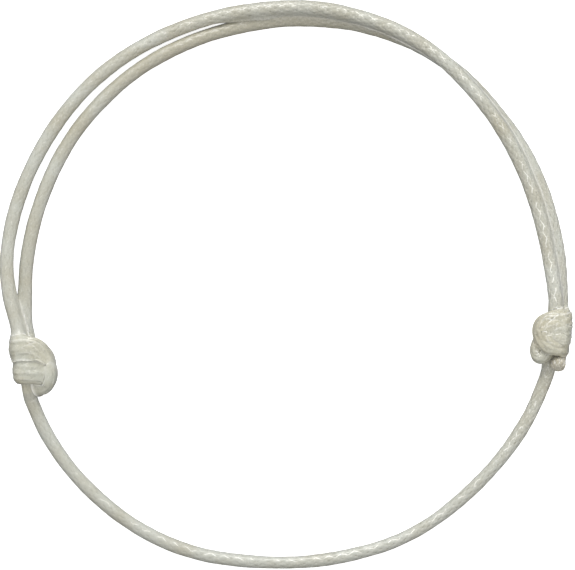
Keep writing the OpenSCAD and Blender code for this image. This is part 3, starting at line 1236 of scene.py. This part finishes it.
@dataclass(frozen=True)
class Studio:
    """A glowing white table, softboxes on three sides and the camera above."""

    picture_width: float = 62.68 * MM
    # Where the middle of the picture lies
    picture_middle: tuple[float, float] = (0.03 * MM, -0.03 * MM)
    lens: float = 600.0
    sensor: float = 36.0
    floor_size: float = 4.0
    floor_colour: str = "#f7f7f5"
    floor_glow: float = 0.85
    world_colour: str = "#fbfbfc"
    # Below the table's edge the room is dim, most of all on this side. The headings between which
    # the near colour turns to the one beyond, and the dim half of the room to the light one
    near_colour: str = "#3e424e"
    beyond_colour: str = "#c6cad8"
    near_to_beyond: tuple[float, float] = (-0.3, 0.7)
    edge_of_table: tuple[float, float] = (-0.1, 0.1)
    world_strength: float = 0.8
    # Each softbox: its width and height, its place and its power. The main one stands beyond the
    # picture's top with a lamp before it, and two small low ones stand close by at the sides
    softboxes: dict[str, tuple] = field(
        default_factory=lambda: {
            "top_softbox": ((1.5, 0.6), (-0.02, 0.89, 0.7), 5.0),
            "top_lamp": ((0.4, 0.3), (-0.12, 0.9, 0.66), 3.6),
            "left_softbox": ((0.25, 0.1), (-0.17, 0.0, 0.04), 0.03),
            "right_softbox": ((0.25, 0.1), (0.17, 0.0, 0.04), 0.062),
        }
    )

    def floor(self) -> None:
        """Lays the plain floor on which the bracelet rests.

        It is a white table that glows, so that the shadows on it stay faint, and it throws no light
        back at the bracelet.
        """
        bm = bmesh.new()
        bmesh.ops.create_grid(bm, x_segments=1, y_segments=1, size=self.floor_size / 2)
        mesh = bpy.data.meshes.new("floor")
        bm.to_mesh(mesh)
        bm.free()
        acrylic = bpy.data.materials.new("opal_acrylic")
        acrylic.use_nodes = True
        finish = {
            "Base Color": linear(self.floor_colour),
            "Roughness": 0.9,
            "Specular IOR Level": 0.1,
            "Emission Color": linear(self.floor_colour),
            "Emission Strength": self.floor_glow,
        }
        for name, value in finish.items():
            acrylic.node_tree.nodes["Principled BSDF"].inputs[name].default_value = value
        mesh.materials.append(acrylic)
        floor = bpy.data.objects.new("floor", mesh)
        floor.visible_diffuse = False
        floor.visible_glossy = False
        bpy.context.scene.collection.objects.link(floor)

    def light(self) -> None:
        """Sets the softboxes and the even light of the room."""
        for name, (size, place, power) in self.softboxes.items():
            lamp = bpy.data.lights.new(name, "AREA")
            lamp.shape, lamp.energy = "RECTANGLE", power
            lamp.size, lamp.size_y = size
            softbox = bpy.data.objects.new(name, lamp)
            softbox.location = place
            softbox.visible_camera = False
            softbox.rotation_euler = (-Vector(place)).to_track_quat("-Z", "Y").to_euler()
            bpy.context.scene.collection.objects.link(softbox)
        world = bpy.data.worlds.new("room")
        world.use_nodes = True
        tree = world.node_tree
        add = partial(add_node, tree)
        heading = add("TexCoord", (), "Generated")

        def blend(
            axis: str,
            between: tuple[float, float],
            low: tuple | bpy.types.NodeSocket,
            high: tuple | bpy.types.NodeSocket,
        ) -> bpy.types.NodeSocket:
            """One colour turning into another between two headings along an axis."""
            value = add("SeparateXYZ", (heading,), axis)
            first, last = between
            share = add("MapRange", {"Value": value, "From Min": first, "From Max": last})
            return add("Mix", {0: share, 6: low, 7: high}, 2, data_type="RGBA")

        near, beyond = linear(self.near_colour), linear(self.beyond_colour)
        below = blend("Y", self.near_to_beyond, near, beyond)
        light = blend("Z", self.edge_of_table, below, linear(self.world_colour))
        sky = tree.nodes["Background"]
        tree.links.new(light, sky.inputs["Color"])
        sky.inputs["Strength"].default_value = self.world_strength
        bpy.context.scene.world = world
        bpy.context.scene.view_settings.view_transform = "Standard"

    def camera(self, cord_d: float) -> None:
        """Sets the camera straight above the loop, far off with a long lens.

        Args:
            cord_d: The cord's diameter in metres, at whose middle the picture's width is measured.
        """
        lens = bpy.data.cameras.new("camera")
        lens.lens = self.lens
        lens.sensor_width = self.sensor
        lens.clip_start = 0.05
        lens.clip_end = 10.0
        camera = bpy.data.objects.new("camera", lens)
        distance = self.picture_width * self.lens / self.sensor
        camera.location = (*self.picture_middle, distance + cord_d / 2)
        bpy.context.scene.collection.objects.link(camera)
        bpy.context.scene.camera = camera


@dataclass
class Bracelet:
    """The whole bracelet: three runs, two sliding knots and the two sealed ends."""

    route: Route
    braid: Braid
    # Rows of the first and last wrap tables that belong to the sealed ends
    end_rows: int = 1

    def pieces(self) -> list[Piece]:
        """The bracelet's pieces, each with its finish.

        Returns:
            The pieces, not yet built.
        """
        r = self.route
        section = Section(r, self.braid, Wear())
        cord = WaxedPolyester("braided_waxed_polyester", self.braid).material()
        pressed = WaxedPolyester(
            "pressed_waxed_polyester",
            self.braid,
            back="#b6b7a9",
            warm="#bab49b",
            film=0.85,
            wax_roughness=0.13,
            gathers=0.47,
        ).material()
        sealed = WaxedPolyester(
            "melted_waxed_polyester",
            self.braid,
            back="#b3ad9b",
            warm="#aaa38d",
            hollow_shade="#675e49",
            roughness=0.35,
            filaments=5.0,
            filament_height=0.9,
            line_white=0.45,
            gathers=0.4,
        ).material()

        def tube(first: int, last: int, tip: Tip = Tip.NONE) -> Tube:
            """The cord from one row to another."""
            return Tube(section, first, last, tip)

        back, front = r.first_row(Stretch.BACK_RUN), r.first_row(Stretch.FRONT_RUN)
        lower = r.first_row(Stretch.LOWER_RUN)
        left_core, right_core = r.first_row(Stretch.LEFT_CORE), r.first_row(Stretch.RIGHT_CORE)
        left_start, right_start = self.end_rows, r.first_row(Stretch.RIGHT_WRAPS)
        right_stop = r.last_row - self.end_rows
        left = (tube(left_start, back - 1), tube(left_core, front - 1))
        right = (tube(right_start, right_stop), tube(right_core, lower - 1))
        left_tip, right_tip = tube(0, left_start, Tip.FIRST), tube(right_stop, r.last_row, Tip.LAST)
        return [
            Strand("lower_strand", (tube(lower - 1, left_core),), cord, "cord"),
            Strand("front_strand", (tube(front - 1, right_start),), cord, "cord"),
            Strand("back_strand", (tube(back - 1, right_core),), cord, "cord"),
            Piece("left_knot", left, pressed, "knot"),
            Piece("right_knot", right, pressed, "knot"),
            Piece("left_sealed_end", (left_tip,), sealed, "sealed_end"),
            Piece("right_sealed_end", (right_tip,), sealed, "sealed_end"),
        ]


def main() -> None:
    """Builds the studio and the bracelet."""
    logging.basicConfig(level=logging.INFO, format="%(name)s: %(message)s")
    route = Route()
    studio = Studio()
    studio.camera(route.cord_d * MM)
    for piece in Bracelet(route, Braid()).pieces():
        piece.build()
    studio.floor()
    studio.light()


if __name__ == "__main__":
    main()
